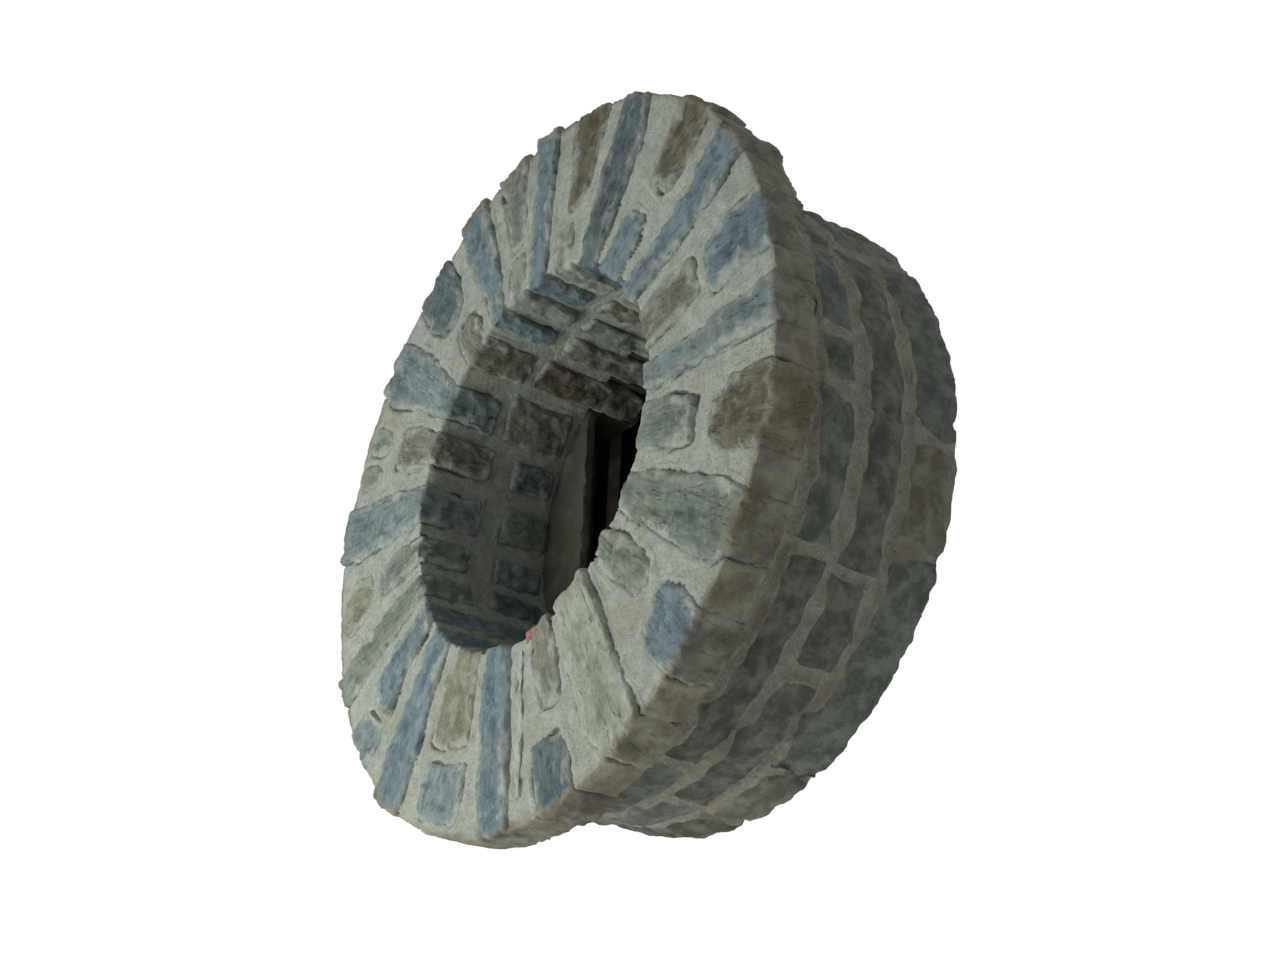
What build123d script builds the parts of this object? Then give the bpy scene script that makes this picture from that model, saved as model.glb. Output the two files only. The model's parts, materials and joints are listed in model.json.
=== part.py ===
from build123d import *
import os
from math import atan2, cos, degrees, radians, sin, sqrt, tan

# Oculus window: a ring of rubble stones in lime mortar round a stone-lined opening,
# with a fixed timber window at its back. Sizes are millimetres.
# The opening's axis is Y and its face looks along -Y. +Z is up, and y = 0 is the wall's face.

os.makedirs("parts", exist_ok=True)

# Ring and opening
opening_diameter = 522
ring_width = 239
ring_projection = 65
face_joint_recess = 5
rim_joint_recess = 6
lining_joint_recess = 5

# Stones. The first course's depth is measured from the wall's face.
corner_radius = 8
edge_wear = 5
first_course_depth = 24
lining_course_start = 32
lining_course_length = 116
lining_stone_height = 110
lining_stone_proud = 4

# Core in the wall. Its rubble shows in courses between raked joints; each course has its own number
# of stones, and the joints between them stray from even steps by a share of a step.
seat_width = 60
tail_cover = 15
core_joint_width = 12
core_joint_rake = 8
core_course_lengths = [62, 70, 76]
core_course_stones = [13, 11, 14, 12]
core_joint_stray = 0.22

# Stop behind the lining, with straight jambs and a straight sill
stop_bed = 2
stop_thickness = 25
stop_half_width = 172
stop_sill_drop = 196

# Reveal behind the stop, and the rebate that holds the frame
reveal_margin = 1
reveal_length = 65
vault_bed = 5
frame_bearing = 23
frame_gap = 1

# Timber frame
member_width = 59
member_depth = 45
glass_rebate_width = 15
glass_rebate_depth = 18
tenon_length = 30
tenon_thickness = 15
tenon_height = 26
tenon_shoulder = 12

# Glass and putty
glass_thickness = 6
glass_edge_gap = 1.5
putty_width = 14
putty_lip = 2

# Frame screws, three to a stile
screw_length = 100
screw_radius = 3
screw_head_radius = 6
screw_head_depth = 4
screw_slot_width = 1.5
screw_slot_depth = 2
screw_spacing = 190
screws_per_stile = 3

# Radii, all about the opening's axis
opening_radius = opening_diameter / 2
outer_radius = opening_radius + ring_width
rim_radius = outer_radius - rim_joint_recess
bore_radius = opening_radius + lining_joint_recess
drum_radius = outer_radius - seat_width
tail_radius = drum_radius - tail_cover
lining_face_radius = opening_radius - lining_stone_proud

# Depths along Y
bed_front = face_joint_recess - ring_projection
lining_course_end = lining_course_start + lining_course_length
stop_front = lining_course_end + stop_bed
stop_back = stop_front + stop_thickness
frame_front = stop_back + reveal_length
frame_back = frame_front + member_depth
vault_end = frame_front - vault_bed
glass_back = frame_front + glass_rebate_depth
glass_front = glass_back - glass_thickness

# Half widths of the square openings
spring_height = sqrt(bore_radius**2 - stop_half_width**2)
reveal_half = opening_radius + reveal_margin
rebate_half = reveal_half + frame_bearing
frame_half = rebate_half - frame_gap
daylight_half = frame_half - member_width
glass_rebate_half = daylight_half + glass_rebate_width
glass_half = glass_rebate_half - glass_edge_gap

# How far a stone of the first course reaches back: a number is millimetres beyond the course's depth
THROUGH = "through the lining"
VAULT = "through the vault"

# The stones of the face: name, reach, how far the face lies back from the ring's face, and the corners.
# A corner is an angle in degrees, 0 at +X and 90 at the top, and a place across the ring in percent,
# 0 at the opening's edge and 100 at the outer edge.
face_stones = [
    ("long_stone_01", THROUGH, 0,
     [(-3.5, -1), (5.5, -1), (4.5, 45), (5.5, 99), (-2.5, 100), (-3, 40)]),
    ("inner_stone_02", 4, 2,
     [(9.5, -2), (23.5, -1), (24, 25), (21, 46), (11, 47), (10, 27)]),
    ("outer_stone_02", 0, 1,
     [(9, 54), (15, 50), (20, 53), (21.5, 79), (20.5, 100), (9.5, 100)]),
    ("long_stone_03", THROUGH, -2,
     [(27, -2), (35.5, -2), (35, 58), (37.5, 99), (31, 103), (28, 99), (27, 58)]),
    ("inner_stone_04", -2, 0,
     [(41.5, -3), (54.5, -3), (53.5, 25), (50, 36), (44, 35), (42, 25)]),
    ("outer_stone_04", 0, 3,
     [(40, 56), (43, 48), (49, 51), (50, 71), (51.5, 100), (42, 102), (40, 85)]),
    ("long_stone_05", VAULT, -1,
     [(57.5, -3), (67, -3), (68, 48), (67, 100), (60, 100), (57, 75), (56.5, 37)]),
    ("inner_stone_06", -4, 1,
     [(72.5, -3), (82, -3), (81.5, 27), (75.5, 28), (73, 16)]),
    ("outer_stone_06", 0, 2,
     [(71, 75), (72, 46), (75, 35), (79.5, 34), (80, 62), (82, 100), (71, 100)]),
    ("long_stone_07", -3, -2,
     [(84.5, -3), (94, -4), (93.5, 27), (92.5, 58), (92.5, 104), (86, 103), (85.5, 48)]),
    ("inner_stone_08", 6, 1,
     [(96, -4), (104.5, -3), (104.5, 20), (103, 31), (96.5, 31), (95.7, 20)]),
    ("outer_stone_08", 0, 3,
     [(97, 36), (102, 36), (103.5, 62), (105, 106), (95.5, 104), (95.7, 58)]),
    ("long_stone_09", 4, -2,
     [(107, -3), (114, -3), (115, 37), (117, 79), (116.5, 104), (108.5, 106), (107, 58)]),
    ("inner_stone_10", 8, 2,
     [(118.5, -1), (130, -1), (130.5, 20), (128.5, 36), (121, 37), (118.5, 23)]),
    ("outer_stone_10", 0, -1,
     [(122, 50), (126.5, 42), (131, 47), (133.5, 69), (132.5, 100), (121, 100), (120.5, 69)]),
    ("long_stone_11", -6, 0,
     [(137, -1), (149, -1), (149, 41), (151, 79), (149, 100), (138.5, 100), (136.5, 58)]),
    ("inner_stone_12", 10, 1,
     [(152.5, -1), (163.5, -1), (165, 29), (164, 51), (154, 51), (152.5, 27)]),
    ("outer_stone_12_upper", 0, 3,
     [(155, 67), (158, 59), (161, 69), (160.5, 93), (156, 94), (154.5, 90)]),
    ("outer_stone_12_lower", 0, 2,
     [(162.5, 71), (164.5, 62), (167, 69), (167.5, 92), (165, 94), (162.5, 92)]),
    ("long_stone_13", 8, -2,
     [(170, 0), (182, 0), (183, 58), (181.5, 100), (171, 100), (169.8, 48)]),
    ("inner_stone_14", -5, 2,
     [(186.5, 0), (196, 0), (197, 33), (195.5, 49), (187.5, 48), (186, 27)]),
    ("outer_stone_14", 0, 3,
     [(187.5, 58), (191, 54), (196, 58), (197.5, 79), (196, 93), (189, 92), (186, 75)]),
    ("long_stone_15", -4, 0,
     [(200.5, 0), (209, 0), (209.5, 48), (210.5, 79), (210, 100), (203.5, 102), (201, 69)]),
    ("inner_stone_16", THROUGH, -1,
     [(213, 0), (222, 0), (222.5, 37), (224.5, 62), (220, 66), (214, 64), (212.5, 37)]),
    ("outer_stone_16", 0, 2,
     [(217.5, 73), (224.5, 71), (226, 86), (225, 100), (216, 100), (215.5, 86)]),
    ("long_stone_17", THROUGH, -2,
     [(225.5, 0), (237, 0), (239, 37), (241, 79), (240.5, 101), (231.5, 103), (229.5, 69), (229, 41)]),
    ("inner_stone_18", THROUGH, 1,
     [(241, 0), (255.5, 0), (257, 27), (259, 52), (251, 55), (243.5, 56), (242, 33)]),
    ("outer_stone_18", 0, 0,
     [(246, 63), (259, 60), (260, 79), (258.5, 93), (246.5, 94), (245, 75)]),
    ("long_stone_19", THROUGH, -2,
     [(259.5, -1), (271, -1), (273, 37), (273.5, 99), (265.5, 100), (263, 58), (261, 29)]),
    ("inner_stone_20", -2, 2,
     [(280.5, -1), (290, -2), (290.5, 27), (289.5, 51), (283, 47), (281, 29)]),
    ("outer_stone_20", 0, 1,
     [(280.5, 63), (287.5, 61), (289.5, 79), (289, 100), (285, 102), (280.5, 100), (279, 77)]),
    ("long_stone_21", THROUGH, -3,
     [(293, -2), (300, -4), (307, -3), (306.5, 33), (304.5, 69), (304.5, 99), (296.5, 101),
      (293.5, 79), (292.8, 41)]),
    ("inner_stone_22", 3, 1,
     [(311, -2), (320, -3), (322, 16), (321, 46), (318, 53), (313.5, 49), (311.5, 25)]),
    ("outer_stone_22", 0, 0,
     [(311.5, 64), (319.5, 61), (321, 79), (320, 100), (310.5, 100), (309.5, 77)]),
    ("long_stone_23", THROUGH, -1,
     [(325.5, -1), (335.5, -1), (337, 37), (337, 79), (335.5, 100), (328.5, 101), (325, 92), (324.5, 48)]),
    ("inner_stone_24", 0, 1,
     [(341, -1), (346.5, -3), (353.5, -1), (353.5, 25), (350.5, 46), (342, 46), (340.5, 25)]),
    ("outer_stone_24", 0, 2,
     [(343, 57), (349, 55), (352.5, 69), (353, 99), (347, 102), (341, 99), (340.5, 71)]),
]

# The stones of the lining's second course: name, reach and corners. A corner is an angle in degrees
# and a place along the course in percent, 0 at its start and 100 at its end.
lining_stones = [
    ("lining_stone_02", THROUGH, [(9, 12), (22, 6), (23, 100), (10, 96)]),
    ("lining_stone_04", THROUGH, [(41, 4), (52, 10), (52, 98), (42, 100)]),
    ("lining_stone_06", VAULT, [(72.5, 5), (82, 8), (81.5, 100), (73.5, 97)]),
    ("lining_stone_07", VAULT, [(85, 9), (93, 6), (92.5, 96), (85, 100)]),
    ("lining_stone_08", VAULT, [(96, 12), (104, 9), (104.5, 100), (97, 96)]),
    ("lining_stone_09", VAULT, [(107, 10), (115.5, 12), (116, 97), (107.5, 100)]),
    ("lining_stone_10", VAULT, [(118.5, 6), (129.5, 4), (129.5, 100), (119, 98)]),
    ("lining_stone_11", THROUGH, [(134, 0), (149, 3), (150, 94), (134, 88)]),
    ("lining_stone_12", THROUGH, [(153, 32), (164, 36), (163.5, 96), (153.5, 98)]),
    ("lining_stone_13", THROUGH, [(169, 38), (182, 30), (182, 98), (168.5, 100)]),
    ("lining_stone_14", THROUGH, [(187.5, 28), (197, 20), (196.5, 94), (186.5, 96)]),
    ("lining_stone_15", THROUGH, [(199.5, 18), (208.5, 12), (209, 96), (200, 94)]),
    ("lining_stone_20", THROUGH, [(277, 8), (289, 14), (288.5, 97), (278, 100)]),
    ("lining_stone_22", THROUGH, [(311, 14), (321, 8), (321.5, 98), (312, 94)]),
    ("lining_stone_24", THROUGH, [(342, 6), (353, 12), (352.5, 100), (341.5, 97)]),
]


def upright(y):
    """The plane square to the opening's axis at depth y: local x is X, local y is Z."""
    return Plane.XZ.offset(-y)


def ring_point(angle, percent):
    """A point of the face at an angle and a place across the ring."""
    radius = opening_radius + ring_width * percent / 100
    return (radius * cos(radians(angle)), radius * sin(radians(angle)))


def reach_back(reach):
    """The depth at which a stone of the first course ends."""
    if reach == THROUGH:
        return lining_course_end
    if reach == VAULT:
        return vault_end
    return first_course_depth + reach


def finish(piece, name):
    """Names a finished piece and writes it to its own file."""
    piece.label = name
    export_step(piece, f"parts/{name}.step")


def face_stone(reach, setback, corners):
    """A stone of the ring, set on edge, with its tail cut to the core in the wall."""
    front = setback - ring_projection
    back = reach_back(reach)
    with BuildPart() as stone:
        with BuildSketch(upright(front)) as outline:
            with BuildLine():
                Polyline([ring_point(angle, percent) for angle, percent in corners], close=True)
            make_face()
            fillet(outline.vertices(), corner_radius)
        extrude(amount=front - back)
        with BuildSketch(upright(0)):
            Circle(2 * outer_radius)
            Circle(tail_radius, mode=Mode.SUBTRACT)
        extrude(amount=-back, mode=Mode.SUBTRACT)
        chamfer(stone.faces().sort_by(Axis.Y)[0].edges(), edge_wear)
    return stone.part


def lining_stone(reach, corners):
    """A stone of the second course: a block whose face is square to its own middle line."""
    middle = sum(angle for angle, percent in corners) / len(corners)
    outward = Vector(cos(radians(middle)), 0, sin(radians(middle)))
    across = Vector(outward.Z, 0, -outward.X)
    length = reach_back(reach) - lining_course_start
    face_plane = Plane(origin=outward * lining_face_radius, x_dir=across, z_dir=outward)
    with BuildPart() as stone:
        with BuildSketch(face_plane) as outline:
            with BuildLine():
                Polyline(
                    [
                        (lining_face_radius * tan(radians(middle - angle)),
                         lining_course_start + length * percent / 100)
                        for angle, percent in corners
                    ],
                    close=True,
                )
            make_face()
            fillet(outline.vertices(), corner_radius)
        extrude(amount=lining_stone_height)
        chamfer(stone.faces().sort_by(Axis((0, 0, 0), outward))[0].edges(), edge_wear)
    return stone.part


stones = []
for name, reach, setback, corners in face_stones:
    stone = face_stone(reach, setback, corners)
    finish(stone, name)
    stones.append(stone)
for name, reach, corners in lining_stones:
    stone = lining_stone(reach, corners)
    finish(stone, name)
    stones.append(stone)

# Timber frame: two full-height stiles with the rails tenoned between them, rebated for the glass
member_middle = daylight_half + member_width / 2
tenon_middle = frame_half - tenon_shoulder - tenon_height / 2
frame_middle_depth = frame_front + member_depth / 2
screw_depth = (glass_back + frame_back) / 2
screw_head_taper = degrees(atan2(screw_head_radius - screw_radius, screw_head_depth))

with BuildPart() as screw_bodies:
    for side in (-1, 1):
        head_plane = Plane.YZ.offset(side * daylight_half)
        with BuildSketch(head_plane):
            with Locations((screw_depth, 0)):
                with GridLocations(1, screw_spacing, 1, screws_per_stile):
                    Circle(screw_radius)
        extrude(amount=side * screw_length)
        with BuildSketch(head_plane):
            with Locations((screw_depth, 0)):
                with GridLocations(1, screw_spacing, 1, screws_per_stile):
                    Circle(screw_head_radius)
        extrude(amount=side * screw_head_depth, taper=screw_head_taper)

with BuildPart() as frame_screws:
    add(screw_bodies.part)
    for side in (-1, 1):
        with BuildSketch(Plane.YZ.offset(side * daylight_half)):
            with Locations((screw_depth, 0)):
                with GridLocations(1, screw_spacing, 1, screws_per_stile):
                    Rectangle(2 * screw_head_radius, screw_slot_width)
        extrude(amount=side * screw_slot_depth, mode=Mode.SUBTRACT)
finish(frame_screws.part, "frame_screws")

for name, side in (("stile_left", -1), ("stile_right", 1)):
    with BuildPart() as stile:
        with BuildSketch(upright(frame_front)):
            with Locations((side * member_middle, 0)):
                Rectangle(member_width, 2 * frame_half)
        extrude(amount=-member_depth)
        with BuildSketch(upright(frame_front)):
            Rectangle(2 * glass_rebate_half, 2 * glass_rebate_half)
        extrude(amount=-glass_rebate_depth, mode=Mode.SUBTRACT)
        for end in (-1, 1):
            with Locations((side * (daylight_half + tenon_length / 2), frame_middle_depth, end * tenon_middle)):
                Box(tenon_length, tenon_thickness, tenon_height, mode=Mode.SUBTRACT)
        add(screw_bodies.part, mode=Mode.SUBTRACT)
    finish(stile.part, name)

for name, end in (("bottom_rail", -1), ("head_rail", 1)):
    with BuildPart() as rail:
        with BuildSketch(upright(frame_front)):
            with Locations((0, end * member_middle)):
                Rectangle(2 * daylight_half, member_width)
        extrude(amount=-member_depth)
        with BuildSketch(upright(frame_front)):
            Rectangle(2 * glass_rebate_half, 2 * glass_rebate_half)
        extrude(amount=-glass_rebate_depth, mode=Mode.SUBTRACT)
        for side in (-1, 1):
            with Locations((side * (daylight_half + tenon_length / 2), frame_middle_depth, end * tenon_middle)):
                Box(tenon_length, tenon_thickness, tenon_height)
    finish(rail.part, name)

# The pane lies on the rebate's shoulder, and a bevelled putty fillet holds it from the front
with BuildPart() as glass_pane:
    with BuildSketch(upright(glass_front)):
        Rectangle(2 * glass_half, 2 * glass_half)
    extrude(amount=-glass_thickness)
finish(glass_pane.part, "glass_pane")

with BuildPart() as glazing_putty:
    with BuildSketch(upright(frame_front)):
        Rectangle(2 * glass_rebate_half, 2 * glass_rebate_half)
    extrude(amount=frame_front - glass_front)
    with BuildSketch(upright(frame_front)):
        Rectangle(2 * (glass_rebate_half - putty_lip), 2 * (glass_rebate_half - putty_lip))
    with BuildSketch(upright(glass_front)):
        Rectangle(2 * (glass_rebate_half - putty_width), 2 * (glass_rebate_half - putty_width))
    loft(mode=Mode.SUBTRACT)
finish(glazing_putty.part, "glazing_putty")

# Raked joints of the core
core_course_starts = [sum(core_course_lengths[:course]) for course in range(len(core_course_stones))]
core_course_ends = core_course_starts[1:] + [frame_back]
with BuildPart() as core_joints:
    for start in core_course_starts[1:]:
        with BuildSketch(upright(start - core_joint_width)):
            Circle(drum_radius)
            Circle(drum_radius - core_joint_rake, mode=Mode.SUBTRACT)
        extrude(amount=-core_joint_width)
    for course, count in enumerate(core_course_stones):
        start, end = core_course_starts[course], core_course_ends[course]
        with BuildSketch(upright(start)):
            for index in range(count):
                stray = core_joint_stray * sin(3 * index + 2 * course)
                with PolarLocations(drum_radius, 1, start_angle=360 / count * (index + stray)):
                    Rectangle(2 * core_joint_rake, core_joint_width)
        extrude(amount=start - end)

# Mortar: the ring's bed in front of the wall's face and the core behind it, in one mass
with BuildPart() as mortar_bed:
    with BuildSketch(upright(bed_front)):
        Circle(rim_radius)
    extrude(amount=bed_front)
    with BuildSketch(upright(0)):
        Circle(drum_radius)
    extrude(amount=-frame_back)
    with BuildSketch(upright(bed_front)):
        Circle(bore_radius)
    extrude(amount=bed_front - stop_front, mode=Mode.SUBTRACT)
    # Between the stop's straight jambs, with the lining's vault as its head
    with BuildSketch(upright(stop_front)):
        Circle(bore_radius)
        with Locations((0, -stop_sill_drop)):
            Rectangle(
                2 * stop_half_width,
                stop_sill_drop + 2 * bore_radius,
                align=(Align.CENTER, Align.MIN),
                mode=Mode.INTERSECT,
            )
    extrude(amount=stop_front - frame_front, mode=Mode.SUBTRACT)
    # The wider reveal between the stop and the frame, square up to the vault's springing
    with BuildSketch(upright(stop_back)):
        with Locations((0, -reveal_half)):
            Rectangle(2 * reveal_half, reveal_half + spring_height, align=(Align.CENTER, Align.MIN))
    extrude(amount=-reveal_length, mode=Mode.SUBTRACT)
    with BuildSketch(upright(frame_front)):
        Rectangle(2 * rebate_half, 2 * rebate_half)
    extrude(amount=-member_depth, mode=Mode.SUBTRACT)
    add(stones + [screw_bodies.part, core_joints.part], mode=Mode.SUBTRACT)
finish(mortar_bed.part, "mortar_bed")
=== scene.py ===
import json
import math
import random

import bpy
from mathutils import Matrix, Vector, noise
from mathutils.bvhtree import BVHTree


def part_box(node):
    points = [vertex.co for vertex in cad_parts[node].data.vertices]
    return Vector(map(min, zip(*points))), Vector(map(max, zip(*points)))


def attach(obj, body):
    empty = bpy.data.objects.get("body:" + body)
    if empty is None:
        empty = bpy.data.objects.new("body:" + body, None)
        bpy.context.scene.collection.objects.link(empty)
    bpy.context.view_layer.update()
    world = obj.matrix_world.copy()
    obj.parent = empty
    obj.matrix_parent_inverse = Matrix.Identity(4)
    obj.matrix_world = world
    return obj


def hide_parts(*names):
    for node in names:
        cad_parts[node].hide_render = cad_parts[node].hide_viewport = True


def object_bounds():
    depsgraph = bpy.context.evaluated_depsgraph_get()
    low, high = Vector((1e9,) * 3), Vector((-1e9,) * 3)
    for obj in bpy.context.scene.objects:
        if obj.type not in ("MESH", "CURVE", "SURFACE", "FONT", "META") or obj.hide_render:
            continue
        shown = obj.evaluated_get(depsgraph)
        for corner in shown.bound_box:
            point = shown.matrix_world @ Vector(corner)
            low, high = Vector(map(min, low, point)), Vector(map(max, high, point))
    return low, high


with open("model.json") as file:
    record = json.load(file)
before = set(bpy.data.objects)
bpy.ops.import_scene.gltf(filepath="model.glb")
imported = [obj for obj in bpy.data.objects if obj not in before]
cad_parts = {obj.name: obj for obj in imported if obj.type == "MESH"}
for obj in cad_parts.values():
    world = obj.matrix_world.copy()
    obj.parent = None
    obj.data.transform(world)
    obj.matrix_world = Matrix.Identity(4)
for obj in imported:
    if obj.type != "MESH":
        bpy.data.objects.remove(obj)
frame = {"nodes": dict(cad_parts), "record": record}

# An oculus window: split rubble stones set on edge in lime mortar, a stone-lined opening and a timber
# frame behind it. Lengths are metres. The opening's axis is Y, its face looks along -Y, and +Z is up.

cad_low, cad_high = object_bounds()
nodes = frame["nodes"]
masonry_low, masonry_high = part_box("mortar_bed")
bed_front = masonry_low.y
core_back = masonry_high.y
core_radius = frame["record"]["mounts"][0]["dims"]["r_mm"] / 1000

# Mortar
joint_front = bed_front - 0.0005
rim_radius = 0.4970
bore_radius = 0.2640
sleeve_radius = 0.3300
stop_front = 0.1500

# Rubble courses of the core, as the solid has them
course_joints = (0.062, 0.132, 0.208)
course_stones = (13, 11, 14, 12)
course_joint_width = 0.012
course_joint_stray = 0.22

# The draw behind the rough stones in the core's end. Without it noise_vector follows the clock.
rubble_draw = 7

# Finest detail of the remeshed pieces
stone_voxel = 0.0033
bed_voxel = 0.0040
core_voxel = 0.0052

# Wear of a stone, each the strength of one pattern
stone_warp = 0.009
stone_nicks = 0.007
stone_bedding = 0.0048
stone_chips = 0.0045
stone_grit = 0.0027

# Fit of the mortar to the stones: how far it is brushed up at their edges, sinks under them and has shrunk
joint_reach = 0.060
under_skin = 0.007
brush_width = 0.012
brushed_up = 0.0004
sunk_under = 0.009
shrunk_away = 0.0042

# Places that the ring hides
hidden_depth = -0.030
hidden_radius = 0.292
core_skin_depth = 0.0125
skin_edge = 0.005
skin_tuck = 0.011

# Layout of the stones' bedding: the ring's middle radius, and the turn that puts its seam in a joint
ring_middle_radius = 0.38
seam_turn = math.radians(-4.0)

# Camera and floor. The camera stands where the photographer stood.
camera_place = Vector((1.6206, -1.0450, -0.9103))
camera_yaw = math.radians(54.30)
camera_pitch = math.radians(17.21)
camera_roll = math.radians(-2.57)
photo_lens = 29.36
closeness = 1.55
aim_point = Vector((0.045, 0.095, -0.005))
floor_height = -1.90


# Modelling helpers

def only(*pieces):
    """Leaves just these objects selected, with the first one active."""
    bpy.ops.object.select_all(action="DESELECT")
    for piece in pieces:
        piece.select_set(True)
    bpy.context.view_layer.objects.active = pieces[0]


def added(name):
    """Names the object that an operator has just added, and puts its place into its mesh."""
    piece = bpy.context.object
    piece.name = name
    piece.data.name = name
    only(piece)
    bpy.ops.object.transform_apply(location=True, rotation=True, scale=True)
    return piece


def modify(piece, kind, **settings):
    """Applies one modifier."""
    only(piece)
    modifier = piece.modifiers.new(kind.lower(), kind)
    for name, value in settings.items():
        setattr(modifier, name, value)
    bpy.ops.object.modifier_apply(modifier=modifier.name)


def copied(node, name):
    """A merged copy of a node's solid, as a piece of its own."""
    piece = nodes[node].copy()
    piece.data = nodes[node].data.copy()
    piece.data.materials.clear()
    piece.parent = None
    piece.name = name
    piece.data.name = name
    for key in list(piece.keys()):
        del piece[key]
    bpy.context.scene.collection.objects.link(piece)
    only(piece)
    bpy.ops.object.mode_set(mode="EDIT")
    bpy.ops.mesh.select_all(action="SELECT")
    bpy.ops.mesh.remove_doubles(threshold=0.00005)
    bpy.ops.object.mode_set(mode="OBJECT")
    return piece


def turned(name, profile, segments=192):
    """A closed ring about the opening's axis, drawn by extruding a circle along a profile of (radius, y)."""
    radius, depth = profile[0]
    bpy.ops.mesh.primitive_circle_add(
        vertices=segments, radius=radius, fill_type="NOTHING",
        location=(0, depth, 0), rotation=(math.pi / 2, 0, 0),
    )
    piece = added(name)
    bpy.ops.object.mode_set(mode="EDIT")
    bpy.ops.mesh.select_all(action="SELECT")
    for next_radius, next_depth in profile[1:] + profile[:1]:
        bpy.ops.mesh.extrude_edges_move()
        grow = next_radius / radius
        bpy.ops.transform.resize(value=(grow, 1, grow), center_override=(0, depth, 0))
        bpy.ops.transform.translate(value=(0, next_depth - depth, 0))
        radius, depth = next_radius, next_depth
    bpy.ops.mesh.select_all(action="SELECT")
    bpy.ops.mesh.remove_doubles(threshold=0.0002)
    bpy.ops.mesh.normals_make_consistent(inside=False)
    bpy.ops.object.mode_set(mode="OBJECT")
    return piece


def pattern(name, kind, scale, **settings):
    """A procedural texture that a Displace modifier reads."""
    texture = bpy.data.textures.new(name, kind)
    texture.noise_scale = scale
    for key, value in settings.items():
        setattr(texture, key, value)
    return texture


def finish_piece(piece, material, *replaced, slot=None):
    """Gives a piece its material, smooth shading and body, and hides what it stands for."""
    piece.data.materials.clear()
    piece.data.materials.append(material)
    only(piece)
    bpy.ops.object.shade_smooth()
    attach(piece, "root")
    if replaced:
        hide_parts(*replaced)


def keep_inside(piece):
    """No vertex leaves the solids' box."""
    for vertex in piece.data.vertices:
        vertex.co = [min(max(c, low), high) for c, low, high in zip(vertex.co, cad_low, cad_high)]


def tree_of(*names):
    """A search tree of the surfaces of some nodes."""
    points, faces = [], []
    for name in names:
        mesh = nodes[name].data
        start = len(points)
        points.extend(v.co.copy() for v in mesh.vertices)
        faces.extend([start + i for i in p.vertices] for p in mesh.polygons)
    return BVHTree.FromPolygons(points, faces)


def write_values(piece, attribute, values):
    """Stores one value for each vertex."""
    layer = piece.data.attributes.new(attribute, "FLOAT", "POINT")
    layer.data.foreach_set("value", values)


def nearest(point, tree):
    """Distance from a surface, negative inside the solid, and how far below it the point lies, 0 to 1."""
    found, normal, index, distance = tree.find_nearest(point, joint_reach)
    if found is None:
        return joint_reach, 0.0
    away = point - found
    below = max(0.0, -away.z / distance) if distance > 0 else 0.0
    return (-distance if away.dot(normal) < 0 else distance), below


def drop_faces(piece, unseen):
    """Deletes the faces that other masonry covers, chosen by their place and their radius."""
    only(piece)
    bpy.ops.object.mode_set(mode="EDIT")
    bpy.ops.mesh.select_mode(type="FACE")
    bpy.ops.mesh.select_all(action="DESELECT")
    bpy.ops.object.mode_set(mode="OBJECT")
    for face in piece.data.polygons:
        face.select = unseen(face.center, math.hypot(face.center.x, face.center.z))
    bpy.ops.object.mode_set(mode="EDIT")
    bpy.ops.mesh.delete(type="FACE")
    bpy.ops.object.mode_set(mode="OBJECT")


# Materials

def tone(red, green, blue):
    """The linear colour of a colour given in 0 to 255."""
    def linear(c):
        c /= 255
        return c / 12.92 if c <= 0.04045 else ((c + 0.055) / 1.055) ** 2.4
    return (linear(red), linear(green), linear(blue), 1)


def put(tree, kind, inputs=None, **settings):
    """Adds a shader node. An input is a value, or a socket to link."""
    made = tree.nodes.new(kind)
    for name, value in settings.items():
        setattr(made, name, value)
    for name, value in (inputs or {}).items():
        if isinstance(value, bpy.types.NodeSocket):
            tree.links.new(value, made.inputs[name])
        else:
            made.inputs[name].default_value = value
    return made


def math_node(tree, operation, *values):
    """The output of a Math node."""
    made = put(tree, "ShaderNodeMath", dict(enumerate(values)), operation=operation)
    return made.outputs[0]


def mapped(tree, value, low, high, to_low=0.0, to_high=1.0, smooth=True):
    """A value mapped from one range to another, and held inside it."""
    made = put(
        tree, "ShaderNodeMapRange",
        {"Value": value, "From Min": low, "From Max": high, "To Min": to_low, "To Max": to_high},
        interpolation_type="SMOOTHSTEP" if smooth else "LINEAR",
    )
    return made.outputs["Result"]


def mixed(tree, factor, first, second, blend="MIX"):
    """Two colours mixed by a factor."""
    made = put(tree, "ShaderNodeMix", data_type="RGBA", blend_type=blend)
    for socket, value in ((made.inputs[0], factor), (made.inputs[6], first), (made.inputs[7], second)):
        if isinstance(value, bpy.types.NodeSocket):
            tree.links.new(value, socket)
        else:
            socket.default_value = value
    return made.outputs[2]


def noisy(tree, vector, scale, detail=3.0, roughness=0.55, distortion=0.0):
    """The value of a Noise texture."""
    inputs = {
        "Vector": vector,
        "Scale": scale,
        "Detail": detail,
        "Roughness": roughness,
        "Distortion": distortion,
    }
    made = put(tree, "ShaderNodeTexNoise", inputs)
    return made.outputs["Fac"]


def stretched(tree, vector, place=(0, 0, 0), scale=(1, 1, 1)):
    """A vector moved and scaled by a Mapping node."""
    made = put(tree, "ShaderNodeMapping", {"Vector": vector, "Location": place, "Scale": scale})
    return made.outputs["Vector"]


def effect(name, inputs, outputs):
    """A shader node group with named sockets, and its two ends."""
    group = bpy.data.node_groups.new(name, "ShaderNodeTree")
    for socket, kind, value in inputs:
        made = group.interface.new_socket(name=socket, in_out="INPUT", socket_type=kind)
        if value is not None:
            made.default_value = value
    for socket, kind in outputs:
        group.interface.new_socket(name=socket, in_out="OUTPUT", socket_type=kind)
    return group, group.nodes.new("NodeGroupInput"), group.nodes.new("NodeGroupOutput")


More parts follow.
